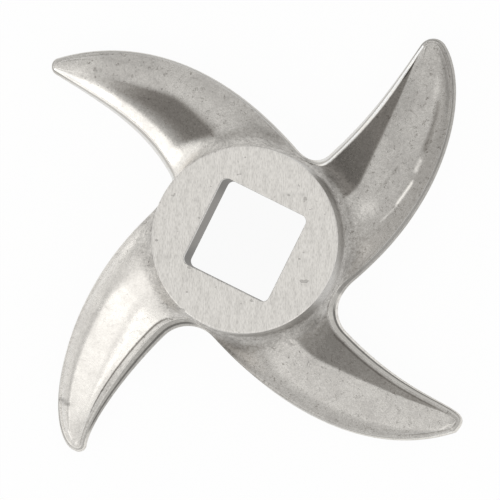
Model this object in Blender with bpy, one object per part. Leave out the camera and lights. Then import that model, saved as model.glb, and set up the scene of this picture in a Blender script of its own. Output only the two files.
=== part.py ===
# Meat grinder knife: one stainless casting, a round hub with a square drive bore and four sickle arms.
# The arms' cutting faces lie in the plane z = 0, and the hub's boss rises from them along +Z.
# The bore's axis is the Z axis and its flats face along X and Y. Lengths are in metres.

import math

import bmesh
import bpy
from mathutils import Matrix, Vector

MM = 0.001

# Hub, with its boss on the back and a round recess in the cutting face
HUB_DIAMETER = 25.0 * MM
HUB_HEIGHT = 16.0 * MM
HUB_DRAFT_DEG = 1.0
HUB_EDGE_CHAMFER = 0.2 * MM
RECESS_DIAMETER = 20.0 * MM
RECESS_DEPTH = 5.8 * MM
RECESS_DRAFT_DEG = 10.0

# Square drive bore, right through the hub
BORE_ACROSS_FLATS = 12.7 * MM
BORE_CORNER_RADIUS = 0.9 * MM

# Arms in plan. In an arm's own frame the trailing notch lies on the X axis and the leading notch
# one pitch further round. All headings are measured in that frame, from the X axis.
ARM_COUNT = 4
ARM_CLOCKING_DEG = -4.0
TIP_DIAMETER = 74.0 * MM
TIP_ANGLE_DEG = 78.5
NOSE_RADIUS = 1.2 * MM
WEB_WIDTH = 0.7 * MM
NOTCH_RADIUS = 4.0 * MM
LEADING_HEADINGS_DEG = (69.9, 95.2)
LEADING_FULLNESS = (0.353, 0.343)
TRAILING_HEADINGS_DEG = (70.3, 146.2)
TRAILING_FULLNESS = (0.38, 0.291)

# The arm's back: a steep facet from the leading edge up to the shoulder line, an easier one up to the
# crest line, then a flat back and a rounded fall to the trailing rim. Places and shares are parts of
# a row, and where there are two they are those at the root and at the tip. The crest line runs along
# the inner pair of places first and then turns into the outer pair.
WEB_HEIGHT = 5.8 * MM
LEADING_HEIGHT = 4.2 * MM
CREST_ROOT_HEIGHT = 8.8 * MM
CREST_TIP_HEIGHT = 3.2 * MM
CREST_FALL_POWER = 1.5
NOSE_HEIGHT = 2.4 * MM
SHOULDER_PLACES = (0.37, 0.14)
SHOULDER_RISE_SHARE = 0.72
SHOULDER_SOFTNESS = 0.03
INNER_CREST_PLACES = (0.5, 0.77)
OUTER_CREST_PLACES = (0.8, 0.245)
CREST_TURN_SOFTNESS = 0.05
CREST_SOFTNESS = 0.04
RIM_SHARES = (0.58, 0.3)
RIM_ROOT_FALL = 1.2 * MM
RIM_TIP_FALL = 0.6 * MM
HUB_FILLET = 2.0 * MM

# The parts of an arm's length over which the leading side and the trailing side come out of the web,
# the part of a row that is softened there, and the part of the length that rolls down at the nose
ROOT_SHARE = 0.1
TRAILING_ROOT_SHARE = 0.32
WEB_SOFT_SHARE = 0.22
NOSE_SHARE = 0.16

# How far the top of the wall round the outline leans in
WEB_WALL_LEAN = 0.25 * MM
LEADING_WALL_LEAN = 0.9 * MM
TRAILING_WALL_LEAN = 0.2 * MM
NOSE_WALL_LEAN = 0.4 * MM

# The ground land on each wall's lower part, and the flat cutting land under the arm with the relief
# behind it
WALL_LAND_HEIGHT = 1.2 * MM
WALL_LAND_LEAN_SHARE = 0.3
CUTTING_LAND_SHARE = 0.45
RELIEF_RISE = 0.8 * MM

# How the rows across an arm run: crowded at the root, bowed like the hub there and like the nose at the
# tip, and further out on the trailing side, whose edge is longer
ROW_CROWDING = 1.25
TRAILING_ADVANCE = 0.8
ROOT_BOW_SHARE = 0.6
NOSE_BOW_SHARE = 0.5
LEAST_BOW_DEG = 4.0
COLUMN_CROWDING = 0.45

# Mesh density
WEB_ROWS = 3
ARM_ROWS = 28
COLUMNS = 22
NOTCH_STEPS = 24
EDGE_STEPS = 90
CORNER_STEPS = 5
RECESS_STEPS = 64
MERGE_DISTANCE = 0.001 * MM
OVERCUT = 1.0 * MM

PITCH_DEG = 360.0 / ARM_COUNT


def polar(radius, angle_deg):
    angle = math.radians(angle_deg)
    return Vector((radius * math.cos(angle), radius * math.sin(angle)))


def mix(a, b, share):
    return a + (b - a) * share


def ease(share):
    """A smooth step from 0 to 1, flat at both ends."""
    share = min(1.0, max(0.0, share))
    return share * share * (3 - 2 * share)


def soft_ramp(x, softness):
    """0 up to the start at x = 0 and then x, rounded over the softness on both sides of it."""
    if x < -softness:
        return 0.0
    return x if x > softness else (x + softness) ** 2 / (4 * softness)


def hub_radius(z):
    """Radius of the drafted boss at a height above the cutting plane."""
    return HUB_DIAMETER / 2 + (HUB_HEIGHT - z) * math.tan(math.radians(HUB_DRAFT_DEG))


def notch_centre(angle_deg):
    return polar(hub_radius(0) + WEB_WIDTH + NOTCH_RADIUS, angle_deg)


def nose_centre():
    return polar(TIP_DIAMETER / 2 - NOSE_RADIUS, TIP_ANGLE_DEG)


def arc_path(centre, radius, start_deg, end_deg):
    """Points along an arc, each with its direction of travel."""
    ahead_deg = math.copysign(90, end_deg - start_deg)
    angles = [mix(start_deg, end_deg, i / NOTCH_STEPS) for i in range(NOTCH_STEPS + 1)]
    return [(centre + polar(radius, angle), polar(1, angle + ahead_deg)) for angle in angles]


def cubic_path(start, end, headings_deg, fullness):
    """Points along a cubic curve between two headings, each with its direction of travel."""
    chord = (end - start).length
    handle_out = start + polar(fullness[0] * chord, headings_deg[0])
    handle_in = end - polar(fullness[1] * chord, headings_deg[1])
    path = []
    for i in range(EDGE_STEPS + 1):
        t = i / EDGE_STEPS
        s = 1 - t
        point = start * s**3 + handle_out * 3 * s * s * t + handle_in * 3 * s * t * t + end * t**3
        way = (handle_out - start) * s * s + (handle_in - handle_out) * 2 * s * t + (end - handle_in) * t * t
        path.append((point, way.normalized()))
    return path


def leading_path():
    """The hollow edge: round the leading notch from its bottom, then out to the nose."""
    notch = arc_path(notch_centre(PITCH_DEG), NOTCH_RADIUS, PITCH_DEG - 180, LEADING_HEADINGS_DEG[0] - 90)
    nose = nose_centre() + polar(NOSE_RADIUS, LEADING_HEADINGS_DEG[1] + 90)
    return notch[:-1] + cubic_path(notch[-1][0], nose, LEADING_HEADINGS_DEG, LEADING_FULLNESS)


def trailing_path():
    """The bowed edge: round the trailing notch from its bottom, then out to the nose."""
    notch = arc_path(notch_centre(0), NOTCH_RADIUS, 180, TRAILING_HEADINGS_DEG[0] + 90)
    nose = nose_centre() + polar(NOSE_RADIUS, TRAILING_HEADINGS_DEG[1] - 90)
    return notch[:-1] + cubic_path(notch[-1][0], nose, TRAILING_HEADINGS_DEG, TRAILING_FULLNESS)


def along(path, share):
    """The point at a share of a path's length, and the direction of travel there."""
    lengths = [(b[0] - a[0]).length for a, b in zip(path, path[1:])]
    left = share * sum(lengths)
    for a, b, length in zip(path, path[1:], lengths):
        if left <= length:
            return mix(a[0], b[0], left / length), mix(a[1], b[1], left / length).normalized()
        left -= length
    return path[-1]


def bow_point(start, end, turn_deg, share):
    """A point on the arc from start to end that turns clockwise by turn_deg on its way."""
    chord = end - start
    half = math.radians(turn_deg) / 2
    radius = chord.length / (2 * math.sin(half))
    outward = Vector((-chord.y, chord.x)).normalized()
    centre = (start + end) / 2 - outward * radius * math.cos(half)
    swing = Matrix.Rotation(half * (1 - 2 * share), 2)
    return centre + swing @ (outward * radius)


class Station:
    """One row across the arm, at u = 0 between the notches and at u = 1 round the nose."""

    def __init__(self, u, leading, trailing):
        self.u = u
        lead, lead_way = along(leading, u)
        trail, trail_way = along(trailing, u**TRAILING_ADVANCE)
        self.lead, self.lead_in = lead, Vector((lead_way.y, -lead_way.x))
        self.trail, self.trail_in = trail, Vector((-trail_way.y, trail_way.x))
        nose_turn = LEADING_HEADINGS_DEG[1] - TRAILING_HEADINGS_DEG[1] + 180
        root_turn = max(LEAST_BOW_DEG, PITCH_DEG * (1 - ease(u / ROOT_BOW_SHARE)))
        self.turn = mix(root_turn, nose_turn, ease((u - 1 + NOSE_BOW_SHARE) / NOSE_BOW_SHARE) ** 2)

    def side(self, web, own, nose):
        """A wall's value along the arm: the web's at the notch, the side's own, then the nose's."""
        value = mix(own, nose, ease((self.u - ROOT_SHARE) / (1 - ROOT_SHARE)))
        return mix(web, value, ease(self.u / ROOT_SHARE))

    def plan(self, v, lean_share=0.0):
        """The row's point at v, 0 on the leading and 1 on the trailing side, set in by part of the lean."""
        lead_lean = self.side(WEB_WALL_LEAN, LEADING_WALL_LEAN, NOSE_WALL_LEAN) * lean_share
        trail_lean = self.side(WEB_WALL_LEAN, TRAILING_WALL_LEAN, NOSE_WALL_LEAN) * lean_share
        start = self.lead + self.lead_in * lead_lean
        end = self.trail + self.trail_in * trail_lean
        return bow_point(start, end, self.turn, v)

    def back(self, v):
        """Height of the arm's back at v. Between the notches it is a soft saddle."""
        u = self.u
        from_web = ease(u / ROOT_SHARE)
        from_root = ease(u / TRAILING_ROOT_SHARE)
        over_nose = math.sqrt(1 - max(0.0, 1 - (1 - u) / NOSE_SHARE) ** 2)
        leading = self.side(WEB_HEIGHT, LEADING_HEIGHT, NOSE_HEIGHT)
        crest = mix(CREST_ROOT_HEIGHT, CREST_TIP_HEIGHT, 1 - (1 - u) ** CREST_FALL_POWER)
        trailing = mix(WEB_HEIGHT, crest - mix(RIM_ROOT_FALL, RIM_TIP_FALL, u), from_root)
        crest = mix(NOSE_HEIGHT, crest, over_nose)
        trailing = mix(NOSE_HEIGHT, trailing, over_nose)
        shoulder_place = mix(*SHOULDER_PLACES, u)
        inner, outer = mix(*INNER_CREST_PLACES, u), mix(*OUTER_CREST_PLACES, u)
        crest_place = inner - soft_ramp(inner - outer, CREST_TURN_SOFTNESS)
        rise = (crest - leading) * SHOULDER_RISE_SHARE
        steep = rise / shoulder_place
        easy = (crest - leading - rise) / (crest_place - shoulder_place)
        height = leading + steep * v
        height += (easy - steep) * soft_ramp(v - shoulder_place, SHOULDER_SOFTNESS)
        height -= easy * soft_ramp(v - crest_place, CREST_SOFTNESS)
        rim_share = mix(*RIM_SHARES, from_root)
        height -= (crest - trailing) * max(0.0, 1 - (1 - v) / rim_share) ** 2
        ends = ease(v / WEB_SOFT_SHARE) * ease((1 - v) / WEB_SOFT_SHARE)
        return WEB_HEIGHT + (height - WEB_HEIGHT) * mix(ends, 1, from_web)

    def relief(self, v):
        """Height of the cutting face at v: flat on its land, then rising to the trailing side."""
        behind = max(0.0, (v - CUTTING_LAND_SHARE) / (1 - CUTTING_LAND_SHARE))
        return RELIEF_RISE * behind * ease(self.u / ROOT_SHARE)


def column_shares():
    """Places across a row, closer together near its two ends."""
    even = [j / COLUMNS for j in range(COLUMNS + 1)]
    return [mix(x, 0.5 - 0.5 * math.cos(math.pi * x), COLUMN_CROWDING) for x in even]


def filleted(point, height):
    """A point of the back, raised where the hollow fillet round the boss reaches it."""
    away = point.length - hub_radius(height + HUB_FILLET)
    inside = HUB_FILLET - min(HUB_FILLET, max(0.0, away))
    return (*point, height + HUB_FILLET - math.sqrt(HUB_FILLET**2 - inside**2))


def web_row(share, first, columns):
    """A row between the boss's wall and the first row of the arm."""
    row = []
    for v in columns:
        height = first.back(v)
        outer = first.plan(v, 1.0)
        wall = outer.normalized() * hub_radius(height + HUB_FILLET)
        row.append(filleted(mix(wall, outer, share), height))
    return row


def hub_ring(radius, z, columns):
    return [(*polar(radius, PITCH_DEG * (1 - v)), z) for v in columns]


def loft(mesh, rows):
    """Quads between neighbouring rows of vertices."""
    for row, following in zip(rows, rows[1:]):
        for a, b, c, d in zip(row, row[1:], following[1:], following):
            mesh.faces.new((a, b, c, d))


def outline(rows):
    """The vertices round an arm's three free sides: out along the leading side, over the nose and back."""
    return [row[0] for row in rows] + rows[-1][1:-1] + [row[-1] for row in reversed(rows)]


def add_back(mesh, stations, columns):
    """The arm's back with its quarter of the boss. Returns the rows from the notches outwards."""
    rows = [web_row(i / WEB_ROWS, stations[0], columns) for i in range(WEB_ROWS)]
    for station in stations:
        rows.append([filleted(station.plan(v, 1.0), station.back(v)) for v in columns])
    edge = hub_ring(HUB_DIAMETER / 2, HUB_HEIGHT - HUB_EDGE_CHAMFER, columns)
    top = hub_ring(HUB_DIAMETER / 2 - HUB_EDGE_CHAMFER, HUB_HEIGHT, columns)
    rows = [[mesh.verts.new(point) for point in row] for row in [top, edge] + rows]
    loft(mesh, rows)
    mesh.faces.new([mesh.verts.new((0, 0, HUB_HEIGHT))] + rows[0])
    return rows[2 + WEB_ROWS :]


def add_cutting_face(mesh, stations, columns):
    """The arm's underside: a flat land behind the leading edge and a relieved strip behind that."""
    nose = stations[-1]
    lead = [mesh.verts.new((*station.plan(0), 0)) for station in stations]
    trail = [mesh.verts.new((*station.plan(1), station.relief(1))) for station in stations]
    tip = [mesh.verts.new((*nose.plan(v), nose.relief(v))) for v in columns[1:-1]]
    border = [mesh.verts.new((*station.plan(CUTTING_LAND_SHARE), 0)) for station in stations[:-1]]
    loft(mesh, [lead[:-1], border, trail[:-1]])
    round_nose = lead[-2:] + tip + [trail[-1], trail[-2]]
    for a, b in zip(round_nose, round_nose[1:]):
        mesh.faces.new((border[-1], a, b))
    mesh.faces.new((mesh.verts.new((0, 0, 0)), lead[0], border[0], trail[0]))
    return lead + tip + trail[::-1]


def add_walls(mesh, foot, top):
    """The walls round the outline, in two steps: the ground land and the cast face that leans in above it."""
    land = []
    for low, high in zip(foot, top):
        point = low.co.lerp(high.co, WALL_LAND_LEAN_SHARE)
        point.z = low.co.z + WALL_LAND_HEIGHT
        land.append(mesh.verts.new(point))
    loft(mesh, [foot, land, top])


def build_body():
    """The hub and its arms as one closed body: one sector with its arm, turned round the axis."""
    leading, trailing = leading_path(), trailing_path()
    places = [(i / ARM_ROWS) ** ROW_CROWDING for i in range(ARM_ROWS + 1)]
    stations = [Station(u, leading, trailing) for u in places]
    columns = column_shares()
    mesh = bmesh.new()
    back = add_back(mesh, stations, columns)
    foot = add_cutting_face(mesh, stations, columns)
    add_walls(mesh, foot, outline(back))

    sector = mesh.verts[:] + mesh.edges[:] + mesh.faces[:]
    for k in range(1, ARM_COUNT):
        copy = bmesh.ops.duplicate(mesh, geom=sector)["geom"]
        turned = [item for item in copy if isinstance(item, bmesh.types.BMVert)]
        turn = Matrix.Rotation(math.radians(PITCH_DEG * k), 3, "Z")
        bmesh.ops.rotate(mesh, verts=turned, matrix=turn)
    bmesh.ops.remove_doubles(mesh, verts=mesh.verts, dist=MERGE_DISTANCE)
    bmesh.ops.recalc_face_normals(mesh, faces=mesh.faces)
    clocking = Matrix.Rotation(math.radians(ARM_CLOCKING_DEG), 3, "Z")
    bmesh.ops.rotate(mesh, verts=mesh.verts, matrix=clocking)
    return mesh


def new_object(name, mesh):
    data = bpy.data.meshes.new(name)
    mesh.to_mesh(data)
    mesh.free()
    item = bpy.data.objects.new(name, data)
    bpy.context.scene.collection.objects.link(item)
    return item


def bore_cutter():
    """A square prism with rounded upright edges, longer than the hub."""
    mesh = bmesh.new()
    bmesh.ops.create_cube(mesh, size=1.0)
    length = HUB_HEIGHT + 2 * OVERCUT
    bmesh.ops.scale(mesh, verts=mesh.verts, vec=(BORE_ACROSS_FLATS, BORE_ACROSS_FLATS, length))
    bmesh.ops.translate(mesh, verts=mesh.verts, vec=(0, 0, HUB_HEIGHT / 2))
    upright = [edge for edge in mesh.edges if abs(edge.verts[0].co.z - edge.verts[1].co.z) > OVERCUT]
    rounding = {"offset": BORE_CORNER_RADIUS, "segments": CORNER_STEPS, "profile": 0.5}
    bmesh.ops.bevel(mesh, geom=upright, affect="EDGES", **rounding)
    return new_object("bore_cutter", mesh)


def recess_cutter():
    """A drafted disc that sinks the hub's face below the arms' cutting faces."""
    slope = math.tan(math.radians(RECESS_DRAFT_DEG))
    mesh = bmesh.new()
    bmesh.ops.create_cone(
        mesh,
        cap_ends=True,
        segments=RECESS_STEPS,
        radius1=RECESS_DIAMETER / 2 + OVERCUT * slope,
        radius2=RECESS_DIAMETER / 2 - RECESS_DEPTH * slope,
        depth=RECESS_DEPTH + OVERCUT,
    )
    bmesh.ops.translate(mesh, verts=mesh.verts, vec=(0, 0, (RECESS_DEPTH - OVERCUT) / 2))
    return new_object("recess_cutter", mesh)


def cut(target, cutter):
    cutter.hide_render = True
    cutter.display_type = "WIRE"
    boolean = target.modifiers.new(cutter.name, "BOOLEAN")
    boolean.operation = "DIFFERENCE"
    boolean.solver = "EXACT"
    boolean.object = cutter


def stainless_steel():
    """Satin stainless steel, warm grey, as it comes from the tumbler."""
    material = bpy.data.materials.new("satin_stainless_steel")
    material.use_nodes = True
    shader = material.node_tree.nodes["Principled BSDF"]
    shader.inputs["Base Color"].default_value = (0.56, 0.55, 0.53, 1.0)
    shader.inputs["Metallic"].default_value = 1.0
    shader.inputs["Roughness"].default_value = 0.3
    return material


def build_knife():
    knife = new_object("grinder_knife", build_body())
    knife.data.materials.append(stainless_steel())
    knife.data.shade_smooth()
    knife.data.set_sharp_from_angle(angle=math.radians(35))
    cut(knife, recess_cutter())
    cut(knife, bore_cutter())
    return knife


for old in list(bpy.data.objects):
    bpy.data.objects.remove(old, do_unlink=True)
build_knife()
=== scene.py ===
import math

import bpy
import numpy as np
from mathutils import Matrix, Vector


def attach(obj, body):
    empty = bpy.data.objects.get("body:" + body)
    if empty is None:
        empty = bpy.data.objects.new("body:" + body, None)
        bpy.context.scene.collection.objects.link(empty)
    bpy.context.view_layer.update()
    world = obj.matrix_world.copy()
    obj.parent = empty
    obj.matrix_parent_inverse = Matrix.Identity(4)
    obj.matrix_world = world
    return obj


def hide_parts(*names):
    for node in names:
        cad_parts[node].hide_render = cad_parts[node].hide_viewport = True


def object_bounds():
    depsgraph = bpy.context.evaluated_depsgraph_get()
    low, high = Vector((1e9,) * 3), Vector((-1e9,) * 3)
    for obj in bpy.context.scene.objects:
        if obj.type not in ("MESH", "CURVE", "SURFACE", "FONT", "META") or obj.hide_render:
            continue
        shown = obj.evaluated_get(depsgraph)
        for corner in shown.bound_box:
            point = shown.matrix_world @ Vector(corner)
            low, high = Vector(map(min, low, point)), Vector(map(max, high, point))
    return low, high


# Meat grinder knife, seen from its back: a round hub with a square drive bore and four sickle arms,
# one stainless casting with a ground hub face and ground cutting faces.
# Sizes are in millimetres until a mesh is written, and then in metres as the frame is.

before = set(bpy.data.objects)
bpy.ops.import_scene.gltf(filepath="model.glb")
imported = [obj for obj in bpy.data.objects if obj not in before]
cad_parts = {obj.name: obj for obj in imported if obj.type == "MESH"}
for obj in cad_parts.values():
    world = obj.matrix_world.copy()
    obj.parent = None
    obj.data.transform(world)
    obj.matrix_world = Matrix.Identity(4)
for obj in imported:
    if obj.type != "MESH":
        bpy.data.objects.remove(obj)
cadBox = [list(corner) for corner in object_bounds()]
millimetre = 0.001
print("frame loaded, box", cadBox)


# Node trees: a wire is one socket, and reckoning with wires adds the Math nodes

class Wire:
    def __init__(self, bench, socket):
        self.bench = bench
        self.socket = socket

    def mathNode(self, operation, first, second=0.0, clamp=False):
        settings = {"operation": operation, "use_clamp": clamp}
        return self.bench.add("ShaderNodeMath", settings, {0: first, 1: second})

    def __add__(self, other):
        return self.mathNode("ADD", self, other)

    def __radd__(self, other):
        return self.mathNode("ADD", other, self)

    def __sub__(self, other):
        return self.mathNode("SUBTRACT", self, other)

    def __rsub__(self, other):
        return self.mathNode("SUBTRACT", other, self)

    def __mul__(self, other):
        return self.mathNode("MULTIPLY", self, other)

    def __rmul__(self, other):
        return self.mathNode("MULTIPLY", other, self)

    def __truediv__(self, other):
        return self.mathNode("DIVIDE", self, other)

    def clamped(self):
        return self.mathNode("ADD", self, 0.0, clamp=True)

    def step(self, low, high):  # smooth step: 0 below low, 1 above high, or the other way round
        settings = {"interpolation_type": "SMOOTHSTEP"}
        first, last = (0.0, 1.0) if low < high else (1.0, 0.0)
        values = {"Value": self, "From Min": min(low, high), "From Max": max(low, high)}
        return self.bench.add("ShaderNodeMapRange", settings, {**values, "To Min": first, "To Max": last})

    def band(self, middle, halfWidth, softness):  # 1 within halfWidth of the middle, fading over softness
        away = self.mathNode("ABSOLUTE", self - middle)
        return away.step(halfWidth + softness, halfWidth)


class Bench:
    def __init__(self, tree):
        self.tree = tree

    def add(self, kind, settings=None, inputs=None, output=0):
        node = self.tree.nodes.new(kind)
        for name, value in (settings or {}).items():
            setattr(node, name, value)
        for name, value in (inputs or {}).items():
            if isinstance(value, Wire):
                self.tree.links.new(value.socket, node.inputs[name])
            else:
                node.inputs[name].default_value = value
        return Wire(self, node.outputs[output])

    def attribute(self, name):
        return self.add("ShaderNodeAttribute", {"attribute_name": name}, output="Fac")

    def noise(self, place, scale, detail, roughness, distortion=0.0):
        values = {"Vector": place, "Scale": scale, "Detail": detail, "Roughness": roughness}
        return self.add("ShaderNodeTexNoise", None, {**values, "Distortion": distortion})

    def mapped(self, place, turn=(0, 0, 0), scale=(1, 1, 1), shift=(0, 0, 0)):
        values = {"Vector": place, "Rotation": turn, "Scale": scale, "Location": shift}
        return self.add("ShaderNodeMapping", None, values)

    def tinted(self, share, first, second):  # a colour between two, by a share
        settings = {"data_type": "RGBA"}
        return self.add("ShaderNodeMix", settings, {0: share, 6: first, 7: second}, output=2)

    def scaled(self, colour, share):  # a colour times a number
        return self.add("ShaderNodeVectorMath", {"operation": "SCALE"}, {0: colour, "Scale": share})

    def bump(self, height):  # height in millimetres
        values = {"Height": height, "Distance": millimetre, "Strength": 1.0}
        return self.add("ShaderNodeBump", None, values)


# Directions are given as the picture shows them, 0 to the right and 90 up. The picture is turned
# against the flats of the bore

pictureTurnDeg = 26.57


def pictureDirection(azimuthDeg, elevationDeg):
    azimuth = math.radians(azimuthDeg + pictureTurnDeg)
    elevation = math.radians(elevationDeg)
    flat = math.cos(elevation)
    return Vector((flat * math.cos(azimuth), flat * math.sin(azimuth), math.sin(elevation)))


# Shape of the knife

hub = {
    "diameter": 25.0,
    "height": 16.0,
    "draftDeg": 1.0,
    "edgeRounding": 0.22,
    "boreFlats": 12.7,
    "boreCorner": 0.9,
    "boreRounding": 0.12,
    "recessDiameter": 20.0,
    "recessDepth": 5.8,
    "recessDraftDeg": 10.0,
    "recessRounding": 0.15,
    "fillet": 2.0,
}
# pairs are at the root and at the nose. Places across an arm run from 0, leading, to 1, trailing
arm = {
    "count": 4,
    "clockingDeg": -4.0,
    "tipDiameter": 74.0,
    "webWidth": 0.7,
    "webHeight": 5.8,
    "leadingHeight": 4.2,
    "noseHeight": 2.4,
    "crestHeights": (8.8, 3.2),
    "crestFallPower": 1.5,
    "crestPlacesInner": (0.50, 0.77),
    "crestPlacesOuter": (0.80, 0.245),
    "crestTurnSoftness": 0.05,
    "crestSoftness": 0.04,
    "shoulderPlaces": (0.37, 0.14),
    "leastShoulderPlace": 0.015,
    "shoulderRises": (0.72, 0.72),
    "shoulderSoftness": 0.03,
    "rimShares": (0.58, 0.3),
    "rimFalls": (1.2, 0.6),
    "noseShare": 0.16,
    "rootShare": 0.1,
    "trailingRootShare": 0.32,
    "webSoftShare": 0.22,
    "cuttingLandShare": 0.45,
    "reliefRise": 0.8,
    "groovePlace": 0.83,
    "grooveShare": 0.04,
    "grooveDepth": 0.0,
    "grooveEnds": (0.15, 0.75),
    "grooveFade": 0.1,
}
# how each arm was ground by hand, anticlockwise from the upper right one. Either side of its outline
# is a curve from the notch to the nose, with a heading and a fullness at both ends
handFinish = [
    {
        "notchRadii": (2.5, 7.0),
        "leadingHeadingsDeg": (72.5, 85.5),
        "leadingFullness": (0.385, 0.376),
        "trailingHeadingsDeg": (69.5, 152.5),
        "trailingFullness": (0.503, 0.2),
        "tipAngleDeg": 77.5,
        "noseRadius": 2.0,
        "shoulderPlaces": (0.42, 0.035),
        "shoulderRises": (0.85, 0.08),
        "grooveDepth": 0.2,
    },
    {
        "notchRadii": (2.5, 5.0),
        "leadingHeadingsDeg": (59, 88.5),
        "leadingFullness": (0.35, 0.356),
        "trailingHeadingsDeg": (71, 137),
        "trailingFullness": (0.457, 0.31),
        "tipDiameter": 73.8,
        "tipAngleDeg": 78.4,
        "noseRadius": 1.15,
        "shoulderPlaces": (0.16, 0.18),
        "shoulderRises": (0.34, 0.5),
    },
    {
        "notchRadii": (4.6, 12.0),
        "leadingHeadingsDeg": (74, 112),
        "leadingFullness": (0.304, 0.196),
        "trailingHeadingsDeg": (74, 199),
        "trailingFullness": (0.617, 0.13),
        "tipDiameter": 73.9,
        "tipAngleDeg": 78.9,
        "noseRadius": 1.0,
        "crestPlacesInner": (0.70, 0.84),
        "crestPlacesOuter": (0.9, 0.76),
        "crestHeights": (9.1, 3.5),
        "crestSoftness": 0.14,
        "shoulderSoftness": 0.1,
        "rimFalls": (1.5, 0.9),
    },
    {
        "notchRadii": (4.1, 6.4),
        "leadingHeadingsDeg": (73.9, -12),
        "leadingFullness": (0.738, 0.244),
        "trailingHeadingsDeg": (73.2, 137.5),
        "trailingFullness": (0.444, 0.308),
        "tipAngleDeg": 77.6,
        "noseRadius": 1.0,
        "shoulderPlaces": (0.42, -0.01),
        "shoulderRises": (0.85, 0.05),
    },
]
# painted light and shade: how light the parts of an arm are painted against the plain casting, standing in
# for the studio's reflections, with painted shade on the darker facets, painted highlights on the lighter
# ones and the edges, and painted highlight and shade in the streaks. A fade is a share of the facet, ends
# and starts are shares of the arm's length, and a streak runs between two points, each along and across
paintedToneDefaults = {
    "easy": 1.0,
    "easyEnds": (2.0, 3.0),
    "flat": 1.0,
    "rim": 1.0,
    "tip": 1.0,
    "rootAcross": (0.2, 0.6),
    "shoulderFade": 0.12,
    "crestFade": 0.3,
    "edge": 0.9,
    "edgePlaces": (0.03, 0.03),
    "line": 0.0,
    "streaks": [],
}
paintedArmTones = [
    {
        "steep": 0.41,
        "rim": 0.77,
        "root": 0.66,
        "leadRoot": 0.72,
        "starts": (0.055, 0.0),
        "edge": 2.2,
        "edgePlaces": (0.01, 0.035),
        "leadWall": (0.7, 0.6, 0.6),
        "wall": -0.2,
        "boss": -0.1,
        "streaks": [
            {"start": (0.78, 0.04), "end": (0.90, 0.10), "halfWidth": 0.022, "change": -0.3},
            {"start": (0.10, 0.57), "end": (0.14, 0.62), "halfWidth": 0.07, "change": 0.3},
            {"start": (0.16, 0.80), "end": (0.24, 0.84), "halfWidth": 0.012, "change": 0.4},
            {"start": (0.26, 0.84), "end": (0.37, 0.865), "halfWidth": 0.018, "change": 1.1},
            {"start": (0.42, 0.83), "end": (0.46, 0.83), "halfWidth": 0.032, "change": 0.65},
            {"start": (0.52, 0.82), "end": (0.71, 0.80), "halfWidth": 0.045, "change": -0.3},
            {"start": (0.73, 0.72), "end": (0.80, 0.70), "halfWidth": 0.05, "change": 0.22},
            {"start": (0.18, 0.56), "end": (0.36, 0.62), "halfWidth": 0.014, "change": -0.2},
        ],
    },
    {
        "steep": 1.85,
        "easy": 0.43,
        "easyEnds": (0.42, 0.9),
        "flat": 1.1,
        "tip": 1.3,
        "root": 0.8,
        "leadRoot": 1.8,
        "starts": (0.16, 0.05),
        "shoulderFade": 0.95,
        "edge": 1.9,
        "leadWall": (0.75, 0.6, 0.9),
        "wall": 0.2,
        "boss": 0.2,
    },
    {
        "steep": 1.6,
        "easy": 1.8,
        "easyEnds": (0.75, 0.95),
        "flat": 1.42,
        "rim": 1.47,
        "tip": 0.93,
        "root": 1.2,
        "leadRoot": 1.2,
        "starts": (0.12, 0.04),
        "shoulderFade": 0.8,
        "crestFade": 0.8,
        "edge": 1.15,
        "edgePlaces": (0.03, 0.12),
        "line": 0.8,
        "leadWall": (-0.3, -0.75, 0.25),
        "wall": 0.35,
        "boss": 0.1,
        "streaks": [{"start": (0.77, 0.74), "end": (0.76, 1.0), "halfWidth": 0.02, "change": -0.7}],
    },
    {
        "steep": 0.6,
        "easy": 1.23,
        "flat": 1.15,
        "rim": 0.9,
        "root": 0.42,
        "leadRoot": 1.0,
        "rootAcross": (0.45, 0.85),
        "starts": (0.06, 0.02),
        "edgePlaces": (0.015, 0.04),
        "line": 0.55,
        "leadWall": (0.3, -0.72, 0.6),
        "wall": 0.4,
        "boss": -0.07,
    },
]
paintedToneReach = {  # how far the painted light and shade reach on every arm
    "rimAcross": (0.72, 0.92),
    "rootFade": 0.05,
    "rootLength": 0.25,
    "trailingRootAcross": (0.5, 0.9),
    "startsAcross": 0.5,
    "tipAlong": (0.72, 0.86),
    "tipAcross": (0.65, 0.35),
    "edgeFade": 0.02,
    "lineWidth": 0.024,
    "lineAlong": (0.12, 0.85),
    "lineFade": 0.1,
    "streakFade": 1.5,
    "streakStretch": 2,
    "bossFade": 0.25,
    "leadWallAcross": 0.3,
    "leadWallFades": (0.1, 0.15),
}
walls = {  # lean and rounding are at the web, on the leading side, on the trailing side and at the nose
    "lean": (0.25, 0.9, 0.2, 0.4),
    "rounding": (0.2, 0.12, 0.45, 0.25),
    "landHeight": 1.2,
    "landLeanShare": 0.42,
    "creaseShare": 0.17,
    "landLevels": (0.4, 0.7),
    "wallLevels": (0.3, 0.55, 0.97),
}
rowsAndColumns = {
    "columns": 80,
    "columnCrowding": 0.45,
    "armRows": 96,
    "rowCrowding": 1.25,
    "trailingAdvance": 0.8,
    "rootBowShare": 0.6,
    "noseBowShare": 0.5,
    "leastBowDeg": 4.0,
    "pathSteps": 240,
    "roundingSteps": 4,
    "boreRows": 8,
    "hubFaceShares": (0.01, 0.06, 0.25, 0.5, 0.75, 0.94, 0.99),
    "bossRows": 7,
    "filletRows": 7,
    "weld": 0.002,
    "sharpAngleDeg": 38,
}
pitchDeg = 360 / arm["count"]
zones = {"cast": 0, "hubFace": 1, "bore": 2, "land": 3, "wall": 4}


def polar(radius, angleDeg):
    angle = np.radians(angleDeg)
    return np.stack([radius * np.cos(angle), radius * np.sin(angle)], -1)


def mix(a, b, share):
    return a + (b - a) * share


def ease(share):
    share = np.clip(share, 0, 1)
    return share * share * (3 - 2 * share)


def easeBetween(x, ends):  # 0 up to the first end and 1 past the second
    return ease((x - ends[0]) / (ends[1] - ends[0]))


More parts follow.
